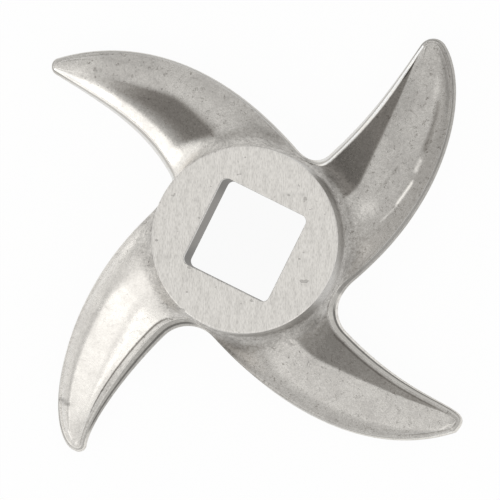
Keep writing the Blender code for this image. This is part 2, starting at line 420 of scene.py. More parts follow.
def easeWithin(x, ends, fade):  # 0 outside the ends, rising to 1 over the fade inside them
    return ease((x - ends[0]) / fade) * ease((ends[1] - x) / fade)


def softRamp(x, softness):  # 0 before the start, then x, rounded over the softness
    rounded = (x + softness) ** 2 / (4 * softness)
    return np.where(x < -softness, 0, np.where(x > softness, x, rounded))


def lengthOf(vectors):
    return np.linalg.norm(vectors, axis=-1, keepdims=True)


def hubRadius(z):
    return hub["diameter"] / 2 + (hub["height"] - z) * math.tan(math.radians(hub["draftDeg"]))


def edgePath(values, notchRadius, notchAngleDeg, notchTurnDeg, side, headingsDeg, fullness):
    # round a notch from its bottom, then out to the nose on a smooth curve between two headings
    t = np.linspace(0, 1, rowsAndColumns["pathSteps"])
    angles = mix(notchAngleDeg - 180, notchTurnDeg, t)
    ahead = math.copysign(90, notchTurnDeg - (notchAngleDeg - 180))
    notchCentre = polar(hubRadius(0) + arm["webWidth"] + notchRadius, notchAngleDeg)
    notch = notchCentre + polar(notchRadius, angles)
    start = notch[-1]
    noseCentre = polar(values["tipDiameter"] / 2 - values["noseRadius"], values["tipAngleDeg"])
    end = noseCentre + polar(values["noseRadius"], headingsDeg[1] + side * 90)
    chord = np.linalg.norm(end - start)
    handleOut = start + polar(fullness[0] * chord, headingsDeg[0])
    handleIn = end - polar(fullness[1] * chord, headingsDeg[1])
    t = t[:, None]
    s = 1 - t
    curve = start * s**3 + handleOut * 3 * s * s * t + handleIn * 3 * s * t * t + end * t**3
    way = (handleOut - start) * s * s + (handleIn - handleOut) * 2 * s * t + (end - handleIn) * t * t
    points = np.concatenate([notch[:-1], curve])
    ways = np.concatenate([polar(1, angles + ahead)[:-1], way / lengthOf(way)])
    return points, ways


def along(path, shares):
    points, ways = path
    lengths = np.concatenate([[0], np.cumsum(np.linalg.norm(np.diff(points, axis=0), axis=1))])
    wanted = shares * lengths[-1]
    place = np.stack([np.interp(wanted, lengths, points[:, k]) for k in (0, 1)], -1)
    way = np.stack([np.interp(wanted, lengths, ways[:, k]) for k in (0, 1)], -1)
    return place, way / lengthOf(way)


class ArmRows:
    # rows across the arm, at u = 0 between the notches and at u = 1 round the nose

    def __init__(self, changes):
        grid = rowsAndColumns
        values = {**arm, **changes}
        self.values = values
        self.u = np.linspace(0, 1, grid["armRows"] + 1) ** grid["rowCrowding"]
        lead = values["leadingHeadingsDeg"]
        trail = values["trailingHeadingsDeg"]
        radii = values["notchRadii"]
        leading = edgePath(values, radii[0], pitchDeg, lead[0] - 90, 1, lead, values["leadingFullness"])
        trailing = edgePath(values, radii[1], 0, trail[0] + 90 - 360, -1, trail, values["trailingFullness"])
        self.lead, way = along(leading, self.u)
        self.leadIn = np.stack([way[:, 1], -way[:, 0]], -1)
        self.trail, way = along(trailing, self.u ** grid["trailingAdvance"])
        self.trailIn = np.stack([-way[:, 1], way[:, 0]], -1)
        noseTurn = lead[1] - trail[1] + 180
        rootTurn = np.maximum(grid["leastBowDeg"], pitchDeg * (1 - ease(self.u / grid["rootBowShare"])))
        intoNose = ease((self.u - 1 + grid["noseBowShare"]) / grid["noseBowShare"]) ** 2
        self.turn = mix(rootTurn, noseTurn, intoNose)

    def wall(self, name):
        # a wall's value on the leading and on the trailing side, row by row
        web, leading, trailing, nose = walls[name]
        outward = ease((self.u - arm["rootShare"]) / (1 - arm["rootShare"]))
        fromWeb = ease(self.u / arm["rootShare"])
        return [mix(web, mix(own, nose, outward), fromWeb) for own in (leading, trailing)]

    def plan(self, v, insets):
        # the points at v in every row, 0 on the leading and 1 on the trailing side, set in from both
        start = self.lead + self.leadIn * insets[0][:, None]
        end = self.trail + self.trailIn * insets[1][:, None]
        chord = end - start
        half = np.radians(self.turn)[:, None] / 2
        length = lengthOf(chord)
        radius = length / (2 * np.sin(half))
        outward = np.stack([-chord[:, 1], chord[:, 0]], -1) / length * radius
        centre = (start + end) / 2 - outward * np.cos(half)
        swing = half * (1 - 2 * v[None, :])
        x = outward[:, :1] * np.cos(swing) - outward[:, 1:] * np.sin(swing)
        y = outward[:, :1] * np.sin(swing) + outward[:, 1:] * np.cos(swing)
        return centre[:, None, :] + np.stack([x, y], -1)

    def back(self, v):
        # height of the arm's back: a steep facet up to the shoulder, an easier one up to the crest,
        # a flat back and a rounded fall to the trailing rim. Between the notches it is a soft saddle
        u, v = self.u[:, None], v[None, :]
        values = self.values
        web, nose = values["webHeight"], values["noseHeight"]
        fromWeb = ease(u / values["rootShare"])
        fromRoot = ease(u / values["trailingRootShare"])
        outward = ease((u - values["rootShare"]) / (1 - values["rootShare"]))
        intoNose = np.clip((u - 1 + values["noseShare"]) / values["noseShare"], 0, 1)
        overNose = np.sqrt(1 - intoNose**2)
        leading = mix(web, mix(values["leadingHeight"], nose, outward), fromWeb)
        crest = mix(*values["crestHeights"], 1 - (1 - u) ** values["crestFallPower"])
        trailing = mix(web, crest - mix(*values["rimFalls"], u), fromRoot)
        crest, trailing = mix(nose, crest, overNose), mix(nose, trailing, overNose)
        shoulderPlace = np.maximum(mix(*values["shoulderPlaces"], u), values["leastShoulderPlace"])
        inner = mix(*values["crestPlacesInner"], u)
        outer = mix(*values["crestPlacesOuter"], u)
        crestPlace = inner - softRamp(inner - outer, values["crestTurnSoftness"])
        onSteep = np.clip(v / shoulderPlace, 0, 1)
        onEasy = np.clip((v - shoulderPlace) / (crestPlace - shoulderPlace), 0, 1)
        onFlat = np.clip((v - crestPlace) / (1 - crestPlace), 0, 1)
        self.course = onSteep + onEasy + onFlat  # for the tones: 1 at the shoulder and 2 at the crest
        rise = (crest - leading) * mix(*values["shoulderRises"], u)
        steep = rise / shoulderPlace
        easy = (crest - leading - rise) / (crestPlace - shoulderPlace)
        overShoulder = softRamp(v - shoulderPlace, values["shoulderSoftness"])
        facets = leading + steep * v + (easy - steep) * overShoulder
        facets = facets - easy * softRamp(v - crestPlace, values["crestSoftness"])
        rimShare = mix(*values["rimShares"], fromRoot)
        overRim = np.clip((v - 1 + rimShare) / rimShare, 0, 1)
        facets = facets - (crest - trailing) * overRim**2
        acrossGroove = np.exp(-(((v - values["groovePlace"]) / values["grooveShare"]) ** 2))
        alongGroove = easeWithin(u, values["grooveEnds"], values["grooveFade"])
        facets = facets - values["grooveDepth"] * alongGroove * acrossGroove
        offSides = easeWithin(v, (0, 1), values["webSoftShare"])
        return web + (facets - web) * mix(offSides, 1, fromWeb)

    def paintedToneChange(self, v, paintedTones):
        # how much lighter than the plain casting the back is painted, as painted light and shade: facet by
        # facet, with painted highlight and shade streaks
        reach = paintedToneReach
        u, v = self.u[:, None], v[None, :]
        easy = mix(paintedTones["easy"], paintedTones["flat"], easeBetween(u, paintedTones["easyEnds"]))
        pastShoulder = ease((self.course - 1) / paintedTones["shoulderFade"] + 0.5)
        pastCrest = ease((self.course - 2) / paintedTones["crestFade"] + 0.5)
        tone = mix(mix(paintedTones["steep"], easy, pastShoulder), paintedTones["flat"], pastCrest)
        nearTip = easeBetween(u, reach["tipAlong"]) * easeBetween(v, reach["tipAcross"])
        tone = tone * mix(1, paintedTones["tip"], nearTip)
        tone = mix(tone, paintedTones["rim"], easeBetween(v, reach["rimAcross"]))
        nearRoot = 1 - ease(u / reach["rootLength"])
        tone = mix(tone, paintedTones["root"], nearRoot * easeBetween(v, reach["trailingRootAcross"]))
        # the edge tone is a painted highlight along the leading edge where it is above 1, and the line is a
        # painted dark line beside the edge
        edgePlace = mix(*paintedTones["edgePlaces"], u)
        tone = mix(paintedTones["edge"], tone, ease((v - edgePlace) / reach["edgeFade"] + 0.5))
        alongLine = easeWithin(u, reach["lineAlong"], reach["lineFade"])
        nearLine = 1 - ease(abs(v - edgePlace) / reach["lineWidth"])
        tone = tone * (1 - paintedTones["line"] * alongLine * nearLine)
        for streak in paintedTones["streaks"]:
            tone = tone + paintedStreakTone(u, v, **streak)
        rootTone = mix(paintedTones["leadRoot"], paintedTones["root"], easeBetween(v, paintedTones["rootAcross"]))
        start = mix(*paintedTones["starts"], ease(v / reach["startsAcross"]))
        tone = mix(rootTone, tone, ease((u - start) / reach["rootFade"]))
        return mix(paintedBossTone(v, paintedTones), tone - 1, ease(u / reach["rootFade"]))

    def relief(self, v):
        # height of the cutting face: flat behind the leading edge, then rising to the trailing side
        behind = np.clip((v - arm["cuttingLandShare"]) / (1 - arm["cuttingLandShare"]), 0, 1)
        return arm["reliefRise"] * behind[None, :] * ease(self.u / arm["rootShare"])[:, None]


def paintedStreakTone(u, v, start, end, halfWidth, change):
    # a painted streak, highlight where the change is above 0 and shade where it is below, fading to its
    # sides. An arm is about twice as long as it is wide
    stretch = paintedToneReach["streakStretch"]
    lengthwise, crosswise = (end[0] - start[0]) * stretch, end[1] - start[1]
    share = (u - start[0]) * stretch * lengthwise + (v - start[1]) * crosswise
    share = np.clip(share / (lengthwise**2 + crosswise**2), 0, 1)
    away = np.hypot((u - mix(start[0], end[0], share)) * stretch, v - mix(start[1], end[1], share))
    return change * (1 - ease(away / halfWidth / paintedToneReach["streakFade"]))


def paintedBossTone(v, paintedTones):
    # the boss has a painted tone of its own beside each arm, painted shade below 0 and painted light above,
    # and none where two arms meet
    return paintedTones["boss"] * easeWithin(v, (0, 1), paintedToneReach["bossFade"])


def raised(plan, height):
    # the hollow fillet that carries the arms into the boss
    fillet = hub["fillet"]
    away = np.linalg.norm(plan, axis=-1) - hubRadius(height + fillet)
    inside = fillet - np.clip(away, 0, fillet)
    return np.concatenate([plan, (height + fillet - np.sqrt(fillet**2 - inside**2))[..., None]], -1)


def boreRadius(anglesDeg, grow):
    # distance from the axis to the rounded square, in the arm's own frame
    half = hub["boreFlats"] / 2 + grow
    corner = hub["boreCorner"] + grow
    centre = half - corner
    folded = np.radians(np.abs((anglesDeg + arm["clockingDeg"] + 45) % 90 - 45))
    flat = half / np.cos(folded)
    reach = centre * (np.cos(folded) + np.sin(folded))
    rounded = reach + np.sqrt(np.maximum(0, reach**2 - 2 * centre**2 + corner**2))
    return np.where(np.tan(folded) < centre / half, flat, rounded)


def ring(radius, z, angles):
    flat = polar(np.broadcast_to(radius, angles.shape), angles)
    return np.concatenate([flat, np.broadcast_to(z, angles.shape)[:, None]], -1)


def columnShares():
    even = np.linspace(0, 1, rowsAndColumns["columns"] + 1)
    shares = mix(even, 0.5 - 0.5 * np.cos(np.pi * even), rowsAndColumns["columnCrowding"])
    shares[np.argmin(np.abs(shares - arm["cuttingLandShare"]))] = arm["cuttingLandShare"]
    return shares


def quarterTurns():
    return np.linspace(0, np.pi / 2, rowsAndColumns["roundingSteps"] + 1)


def hubRings(angles, saddle):
    # from the bottom of the bore, over the hub's face, down the boss to where the fillet starts
    grid = rowsAndColumns
    top = hub["height"]
    edge = hub["edgeRounding"]
    rows = []
    for z in np.linspace(hub["recessDepth"], top - hub["boreRounding"], grid["boreRows"] + 1)[:-1]:
        rows.append((ring(boreRadius(angles, 0), z, angles), "bore"))
    for turn in quarterTurns():
        grow = hub["boreRounding"] * (1 - math.cos(turn))
        z = top - hub["boreRounding"] * (1 - math.sin(turn))
        rows.append((ring(boreRadius(angles, grow), z, angles), "hubFace"))
    inner = boreRadius(angles, hub["boreRounding"])
    outer = hub["diameter"] / 2 - edge
    for share in grid["hubFaceShares"]:
        rows.append((ring(mix(inner, outer, share), top, angles), "hubFace"))
    for turn in quarterTurns():
        radius = outer + edge * math.sin(turn)
        rows.append((ring(radius, top - edge * (1 - math.cos(turn)), angles), "hubFace"))
    start = saddle + hub["fillet"]
    for share in np.linspace(0, 1, grid["bossRows"] + 2)[1:-1]:
        z = mix(top - edge, start, share)
        rows.append((ring(hubRadius(z), z, angles), "cast"))
    return rows


def webRings(saddle, outer):
    # from the start of the fillet to the first row of the arm, closer together by the boss
    inner = outer / lengthOf(outer) * hubRadius(saddle + hub["fillet"])[:, None]
    steepest = math.acos(1 - arm["webWidth"] / hub["fillet"])
    rows = []
    for turn in np.linspace(0, steepest, rowsAndColumns["filletRows"] + 1)[:-1]:
        share = (1 - math.cos(turn)) / (1 - math.cos(steepest))
        rows.append((raised(mix(inner, outer, share), saddle), "cast"))
    return rows


def backGrid(arms, v):
    lean, rounding = arms.wall("lean"), arms.wall("rounding")
    insets = [a + b for a, b in zip(lean, rounding)]
    plan = arms.plan(v, insets)
    heights = arms.back(v)
    angles = pitchDeg * (1 - v)
    rows = hubRings(angles, heights[0]) + webRings(heights[0], plan[0])
    rows += [(row, "cast") for row in raised(plan, heights)]
    return np.stack([row for row, zone in rows]), [zone for row, zone in rows[1:]]


def undersideGrid(arms, v):
    angles = pitchDeg * (1 - v)
    depth = hub["recessDepth"]
    slope = math.tan(math.radians(hub["recessDraftDeg"]))
    mouth = hub["recessDiameter"] / 2
    floorRadius = mouth - depth * slope
    rounding = hub["recessRounding"]
    bore = boreRadius(angles, 0)
    rings = [
        (ring(bore, depth, angles), "cast"),
        (ring(mix(bore, floorRadius, 0.5), depth, angles), "cast"),
        (ring(floorRadius - rounding, depth, angles), "cast"),
        (ring(floorRadius + rounding * slope, depth - rounding, angles), "cast"),
        (ring(mouth - rounding * slope, rounding, angles), "cast"),
        (ring(mouth + rounding, 0, angles), "land"),
        (ring(hubRadius(0) - rounding, 0, angles), "land"),
    ]
    none = np.zeros_like(arms.u)
    plan = arms.plan(v, [none, none])
    face = np.concatenate([plan, arms.relief(v)[..., None]], -1)
    rows = rings + [(row, "land") for row in face]
    return np.stack([row for row, zone in rows]), [zone for row, zone in rows[1:]]


def outline(grid):
    # the border of an arm's grid: out along the leading side, over the nose and back
    return np.concatenate([grid[:, 0], grid[-1, 1:-1], grid[::-1, -1]])


def wallBand(arms, v, back, underside):
    # the wall round the outline: a ground land at its foot, a crease, the cast wall and a rounded top
    count = len(arms.u)
    lean, rounding = arms.wall("lean"), arms.wall("rounding")
    foot = outline(underside[-count:])
    bottom, top = foot[:, 2], outline(back[-count:])[:, 2]
    overNose = np.full(len(foot) - 2 * count, rounding[0][-1])
    roundingAround = np.concatenate([rounding[0], overNose, rounding[1][::-1]])

    def level(leanShare, roundingShare, z):
        insets = [a * leanShare + b * roundingShare for a, b in zip(lean, rounding)]
        return np.column_stack([outline(arms.plan(v, insets)), z])

    landLean, crease = walls["landLeanShare"], walls["creaseShare"]
    landTop = walls["landHeight"] / (top - bottom)
    wallTop = 1 - roundingAround / (top - bottom)
    levels = [(foot, "land")]
    for share in (*walls["landLevels"], 1 - crease):
        levels.append((level(landLean * share, 0, mix(bottom, top, landTop * share)), "land"))
    for share in (crease, *walls["wallLevels"]):
        z = mix(bottom, top, mix(landTop, wallTop, share))
        zone = "land" if share == crease else "wall"
        levels.append((level(mix(landLean, 1.0, share), 0, z), zone))
    for turn in quarterTurns()[1:]:
        t = turn / (np.pi / 2)
        z = mix(top - roundingAround * (1 - t) ** 2, top, t * t)
        levels.append((level(1.0, t * t, z), "cast"))
    levels[-1] = (outline(back[-count:]), "cast")
    return np.stack([row for row, zone in levels]), [zone for row, zone in levels[1:]]


def paintedWallTone(arms, v, paintedTones, paintedBackTone):
    # one painted tone round the arm, painted shade and light standing in for what the wall reflects, with
    # land, crease and wall apart on the leading side. The rounded top goes with the back
    steps = rowsAndColumns["roundingSteps"]
    alongArm = np.concatenate([arms.u, np.ones(len(v) - 2), arms.u[::-1]])
    acrossArm = np.concatenate([np.zeros_like(arms.u), v[1:-1], np.ones_like(arms.u)])
    rootFade, noseFade = paintedToneReach["leadWallFades"]
    onLead = 1 - ease(acrossArm / paintedToneReach["leadWallAcross"])
    onLead = onLead * ease(alongArm / rootFade) * ease((1 - alongArm) / noseFade)
    counts = (len(walls["landLevels"]) + 1, 2, len(walls["wallLevels"]) + steps)
    paintedLeadWallTones = np.repeat(paintedTones["leadWall"], counts)[:, None]
    tone = mix(paintedTones["wall"], paintedLeadWallTones, onLead[None, :])
    tone[-steps:] = outline(paintedBackTone)
    return tone


class SectorMesh:
    # collects grids of points as one mesh, with a zone for each face, and each point's arm and painted light
    # and shade tone

    def __init__(self):
        self.points, self.faces, self.zones = [], [], []
        self.shares = {"arm": [], "tone": []}
        self.count = 0

    def addGrid(self, grid, zoneNames, shares, flipped):
        rows, columns = grid.shape[:2]
        index = np.arange(rows * columns).reshape(rows, columns) + self.count
        quads = [index[:-1, :-1], index[:-1, 1:], index[1:, 1:], index[1:, :-1]]
        if flipped:
            quads.reverse()
        self.faces.append(np.stack(quads, -1).reshape(-1, 4))
        self.zones.append(np.repeat([zones[name] for name in zoneNames], columns - 1))
        self.points.append(grid.reshape(-1, 3))
        for label, values in self.shares.items():
            values.append(np.broadcast_to(shares.get(label, 0.0), (rows, columns)).ravel())
        self.count += rows * columns

    def build(self, name):
        mesh = bpy.data.meshes.new(name)
        points = np.concatenate(self.points) * millimetre
        mesh.from_pydata(points.tolist(), [], np.concatenate(self.faces).tolist())
        for label, values in self.shares.items():
            layer = mesh.attributes.new(label, "FLOAT", "POINT")
            layer.data.foreach_set("value", np.concatenate(values).astype(np.float32))
        layer = mesh.attributes.new("zone", "INT", "FACE")
        layer.data.foreach_set("value", np.concatenate(self.zones).astype(np.int32))
        return mesh


def addArm(mesh, number, changes, paintedTones):
    paintedTones = {**paintedToneDefaults, **paintedTones}
    arms = ArmRows(changes)
    v = columnShares()
    back, backZones = backGrid(arms, v)
    underside, undersideZones = undersideGrid(arms, v)
    band, bandZones = wallBand(arms, v, back, underside)
    # each point's tone is painted light and shade, carried to the colour of the finish
    paintedBackTone = arms.paintedToneChange(v, paintedTones)
    onBoss = [zone == "cast" for zone in backZones[:len(back) - len(arms.u)]]
    paintedRowTones = np.concatenate([np.outer(onBoss, paintedBossTone(v, paintedTones)), paintedBackTone])
    mesh.addGrid(back, backZones, {"arm": number, "tone": paintedRowTones}, False)
    mesh.addGrid(underside, undersideZones, {"arm": number}, True)
    paintedBandTones = paintedWallTone(arms, v, paintedTones, paintedBackTone)
    mesh.addGrid(band, bandZones, {"arm": number, "tone": paintedBandTones}, True)


def buildSectors():
    mesh = SectorMesh()
    for number, (changes, paintedTones) in enumerate(zip(handFinish, paintedArmTones)):
        addArm(mesh, number, changes, paintedTones)
    return mesh.build("sectors")


# Finishes

# Sizes are in millimetres and scales per millimetre. An effect comes in between its two ends

castFinish = {
    "colour": (0.515, 0.50, 0.475, 1.0),
    "smudgeColour": (0.42, 0.405, 0.385, 1.0),
    # painted shade is tinted warmer
    "paintedShadeTint": (1.03, 0.985, 0.94, 1.0),
    "paintedShadeEnds": (0.2, 1.0),
    "grazingTint": (1.0, 1.0, 1.0, 1.0),
    "roughness": 0.29,
    "smudgeRoughness": 0.07,
    "smudgeMiddle": 0.4,
    "gritRoughness": 0.1,
    "filletRoughness": 0.16,
    "filletReach": (14.2, 16.0),
    "smudge": {"scale": 0.16, "detail": 4.0, "roughness": 0.6, "distortion": 0.8},
    "smudgeEnds": (0.42, 0.68),
    "smudgeShare": 0.55,
    "cloud": {"scale": 0.9, "detail": 3.0, "roughness": 0.6},
    "cloudEnds": (0.35, 0.75),
    "cloudShare": 0.25,
    "speckle": {"scale": 5.6, "detail": 2.0, "roughness": 0.7},
    "speckleShare": 0.9,
    "speckleHeight": 0.008,
    "grit": {"scale": 2.4, "detail": 3.0, "roughness": 0.65},
    "gritShare": 0.5,
    "filletGritShare": 0.7,
    "gritHeight": 0.012,
    "gritOnLight": 0.4,
    "gritToneEnds": (2.1, 1.0),
    "curls": {"scale": 1.7, "detail": 2.0, "roughness": 0.5, "distortion": 0.6},
    "curlBand": {"middle": 0.5, "halfWidth": 0.006, "softness": 0.03},
    "pitPlaces": {"scale": 1.3, "detail": 1.0, "roughness": 0.5},
    "pitShift": (31, 17, 5),
    "pitEnds": (0.56, 0.64),
    "pitToneEnds": (1.7, 1.1),
    "pitShare": 0.45,
    "pitHeight": 0.012,
    "ripple": {"scale": 0.35, "detail": 1.0, "roughness": 0.4},
    "rippleHeight": 0.03,
    "scratches": [
        {"turnDeg": 38, "width": 0.14, "length": 2.6, "ends": (0.7, 0.76)},
        {"turnDeg": -24, "width": 0.13, "length": 2.2, "ends": (0.71, 0.77)},
    ],
    "scratchShare": 0.1,
    "scratchHeight": 0.002,
}
# painted shade: the walls are darker, in colour and at grazing angles
wallChangesWithPaintedShade = {
    "colour": (0.42, 0.41, 0.39, 1.0),
    "smudgeColour": (0.33, 0.32, 0.305, 1.0),
    "roughness": 0.3,
    "grazingTint": (0.6, 0.59, 0.57, 1.0),
}
groundFinish = {
    "colour": (0.77, 0.75, 0.716, 1.0),
    "grainColour": (0.48, 0.465, 0.442, 1.0),
    "grazingTint": (1.0, 1.0, 1.0, 1.0),
    "roughness": 0.36,
    "grainRoughness": 0.1,
    "grainStretch": (7.0, 1.6, 1.0),
    "grain": {"scale": 1.0, "detail": 3.0, "roughness": 0.6},
    "grainEnds": (0.35, 0.72),
    "grainShare": 0.6,
    "grainHeight": 0.006,
    "broadStretch": (1.6, 0.3, 1.0),
    "broad": {"scale": 1.0, "detail": 2.0, "roughness": 0.5},
    "broadEnds": (0.4, 0.7),
    "broadShare": 0.25,
    "pits": {"scale": 1.1, "detail": 1.0, "roughness": 0.4},
    "pitEnds": (0.73, 0.77),
    "pitShare": 0.9,
    "pitHeight": 0.05,
}
# painted shade: the lands are darker at grazing angles
landPaintedShade = {
    "grazingTint": (0.6, 0.59, 0.57, 1.0),
}
# painted shade: the bore is painted dark, as shade in the recess
boreFinishAndPaintedShade = {
    "colour": (0.17, 0.161, 0.151),
    "grazingTint": (0.88, 0.865, 0.84, 1.0),
    "roughness": 0.38,
    "cornerReach": (8.2, 7.0),
    "cornerShare": 0.6,
    "grainStretch": (5.0, 5.0, 0.3),
    "grain": {"scale": 1.0, "detail": 2.0, "roughness": 0.5},
    "grainShare": 0.24,
    "grainHeight": 0.008,
}


def newMaterial(name):
    material = bpy.data.materials.new(name)
    material.use_nodes = True
    return material, material.node_tree.nodes["Principled BSDF"], Bench(material.node_tree)


def newMetal(name, values):
    material, shader, bench = newMaterial(name)
    shader.inputs["Metallic"].default_value = 1.0
    shader.inputs["Roughness"].default_value = values["roughness"]
    shader.inputs["Specular Tint"].default_value = values["grazingTint"]
    return material, shader, bench


def objectPlace(bench):  # the place on the knife, in millimetres
    place = bench.add("ShaderNodeTexCoord", output="Object")
    return bench.mapped(place, scale=(1 / millimetre,) * 3)


def feed(bench, shader, values):
    for name, wire in values.items():
        bench.tree.links.new(wire.socket, shader.inputs[name])


def fromAxis(bench, place):
    flat = bench.mapped(place, scale=(1, 1, 0))
    return bench.add("ShaderNodeVectorMath", {"operation": "LENGTH"}, {0: flat}, output="Value")


def scratchLines(bench, place, turnDeg, width, length, ends):
    # thin lines one way: noise drawn out along the line, kept only where it peaks
    drawn = bench.mapped(place, (0, 0, math.radians(turnDeg)), (1 / width, 1 / length, 1 / length))
    return bench.noise(drawn, scale=1.0, detail=1.0, roughness=0.4).step(*ends)


def castSteel(name, values):
    material, shader, bench = newMetal(name, values)
    place = objectPlace(bench)
    smudge = bench.noise(place, **values["smudge"]).step(*values["smudgeEnds"])
    cloud = bench.noise(place, **values["cloud"]).step(*values["cloudEnds"])
    speckle = bench.noise(place, **values["speckle"])
    grit = bench.noise(place, **values["grit"])
    # pits are short curly lines: a thin band of one noise, kept where another peaks
    curls = bench.noise(place, **values["curls"]).band(**values["curlBand"])
    elsewhere = bench.mapped(place, shift=values["pitShift"])
    pits = curls * bench.noise(elsewhere, **values["pitPlaces"]).step(*values["pitEnds"])
    first, second = [scratchLines(bench, place, **lines) for lines in values["scratches"]]
    marks = first + second
    nearBoss = fromAxis(bench, place).step(*reversed(values["filletReach"]))
    tone = smudge * values["smudgeShare"] + cloud * values["cloudShare"] + marks * values["scratchShare"]
    colour = bench.tinted(tone.clamped(), values["colour"], values["smudgeColour"])
    # the tone attribute is painted light and shade; grain and pits fade where a part is painted light
    paintedPartTone = bench.attribute("tone") + 1
    gritShare = nearBoss * values["filletGritShare"] + values["gritShare"]
    grain = (speckle - 0.5) * values["speckleShare"] + (grit - 0.5) * gritShare
    onLight = values["gritOnLight"]
    grain = grain * (paintedPartTone.step(*values["gritToneEnds"]) * (1 - onLight) + onLight)
    pitted = pits * values["pitShare"] * paintedPartTone.step(*values["pitToneEnds"])
    level = paintedPartTone * (grain + 1) * (1 - pitted)
    # painted shade: the colour is tinted warmer where the painted level is low
    paintedShadeWarmth = bench.tinted(level.step(*values["paintedShadeEnds"]), values["paintedShadeTint"], (1.0, 1.0, 1.0, 1.0))
    colour = bench.add("ShaderNodeVectorMath", {"operation": "MULTIPLY"}, {0: colour, 1: paintedShadeWarmth})
    colour = bench.scaled(colour, level)
    roughness = values["roughness"] + (smudge - values["smudgeMiddle"]) * values["smudgeRoughness"]
    roughness = roughness + nearBoss * values["filletRoughness"] + (grit - 0.5) * values["gritRoughness"]
    height = speckle * values["speckleHeight"] + grit * values["gritHeight"]
    height = height - pits * values["pitHeight"] - marks * values["scratchHeight"]
    height = height + bench.noise(place, **values["ripple"]) * values["rippleHeight"]
    feed(bench, shader, {"Base Color": colour, "Roughness": roughness, "Normal": bench.bump(height)})
    return material


def groundSteel(name, values, turnDeg):
    material, shader, bench = newMetal(name, values)
    place = objectPlace(bench)
    turned = bench.mapped(place, (0, 0, math.radians(-turnDeg)))
    grain = bench.noise(bench.mapped(turned, scale=values["grainStretch"]), **values["grain"])
    broad = bench.noise(bench.mapped(turned, scale=values["broadStretch"]), **values["broad"])
    pits = bench.noise(place, **values["pits"]).step(*values["pitEnds"])
    tone = grain.step(*values["grainEnds"]) * values["grainShare"] + pits * values["pitShare"]
    tone = tone + broad.step(*values["broadEnds"]) * values["broadShare"]
    colour = bench.tinted(tone.clamped(), values["colour"], values["grainColour"])
    # painted light and shade from the tone attribute, on the lands of the walls
    colour = bench.scaled(colour, bench.attribute("tone") + 1)
    roughness = values["roughness"] + (grain - 0.5) * values["grainRoughness"]
    bumped = bench.bump(grain * values["grainHeight"] - pits * values["pitHeight"])
    feed(bench, shader, {"Base Color": colour, "Roughness": roughness, "Normal": bumped})
    return material


def broachedSteelPaintedShade(name, values):
    material, shader, bench = newMetal(name, values)
    place = objectPlace(bench)
    grain = bench.noise(bench.mapped(place, scale=values["grainStretch"]), **values["grain"])
    # painted shade: the corners of the bore are darker
    offCorners = fromAxis(bench, place).step(*values["cornerReach"])
    shade = offCorners * values["cornerShare"] + (1 - values["cornerShare"])
    colour = bench.scaled(values["colour"], shade * (1 - (grain - 0.5) * values["grainShare"]))
    feed(bench, shader, {"Base Color": colour, "Normal": bench.bump(grain * values["grainHeight"])})
    return material


# The knife: a tree turns each arm's sector to its place round the axis and gives each zone its finish

knifeTree = {
    "Arms": ("NodeSocketInt", arm["count"]),
    "Clocking": ("NodeSocketFloat", math.radians(arm["clockingDeg"])),
    "Weld": ("NodeSocketFloat", rowsAndColumns["weld"] * millimetre),
    "Cast": ("NodeSocketMaterial", castSteel("castSteel", castFinish)),
    "Wall": ("NodeSocketMaterial", castSteel("castWallPaintedShade", castFinish | wallChangesWithPaintedShade)),
    "Hub face": ("NodeSocketMaterial", groundSteel("groundHubFace", groundFinish, pictureTurnDeg)),
    "Bore": ("NodeSocketMaterial", broachedSteelPaintedShade("broachedSteelPaintedShade", boreFinishAndPaintedShade)),
    "Land": ("NodeSocketMaterial", groundSteel("groundLand", groundFinish | landPaintedShade, 0)),
}


def buildKnifeTree():
    tree = bpy.data.node_groups.new("turnedArms", "GeometryNodeTree")
    bench = Bench(tree)
    tree.interface.new_socket("Geometry", in_out="INPUT", socket_type="NodeSocketGeometry")
    for name, (kind, _) in knifeTree.items():
        tree.interface.new_socket(name, in_out="INPUT", socket_type=kind)
    tree.interface.new_socket("Geometry", in_out="OUTPUT", socket_type="NodeSocketGeometry")
    given = tree.nodes.new("NodeGroupInput")
    inputs = {socket.name: Wire(bench, socket) for socket in given.outputs if socket.name}

    number = bench.add("GeometryNodeInputNamedAttribute", {"data_type": "FLOAT"}, {"Name": "arm"})
    turn = number * (2 * math.pi) / inputs["Arms"] + inputs["Clocking"]
    place = bench.add("GeometryNodeInputPosition")
    settings = {"rotation_type": "Z_AXIS"}
    turned = bench.add("ShaderNodeVectorRotate", settings, {"Vector": place, "Angle": turn})
    arms = bench.add("GeometryNodeSetPosition", None, {"Geometry": inputs["Geometry"], "Position": turned})
    arms = bench.add("GeometryNodeMergeByDistance", None, {"Geometry": arms, "Distance": inputs["Weld"]})
    arms = bench.add("GeometryNodeRealizeInstances", None, {"Geometry": arms})
    zone = bench.add("GeometryNodeInputNamedAttribute", {"data_type": "INT"}, {"Name": "zone"})
    for name, finish in (("cast", "Cast"), ("hubFace", "Hub face"), ("bore", "Bore"), ("land", "Land"),
                         ("wall", "Wall")):
        settings = {"data_type": "INT", "operation": "EQUAL"}
        chosen = bench.add("FunctionNodeCompare", settings, {2: zone, 3: zones[name]})
        painted = {"Geometry": arms, "Selection": chosen, "Material": inputs[finish]}
        arms = bench.add("GeometryNodeSetMaterial", None, painted)
    result = tree.nodes.new("NodeGroupOutput")
    tree.links.new(arms.socket, result.inputs["Geometry"])
    return tree


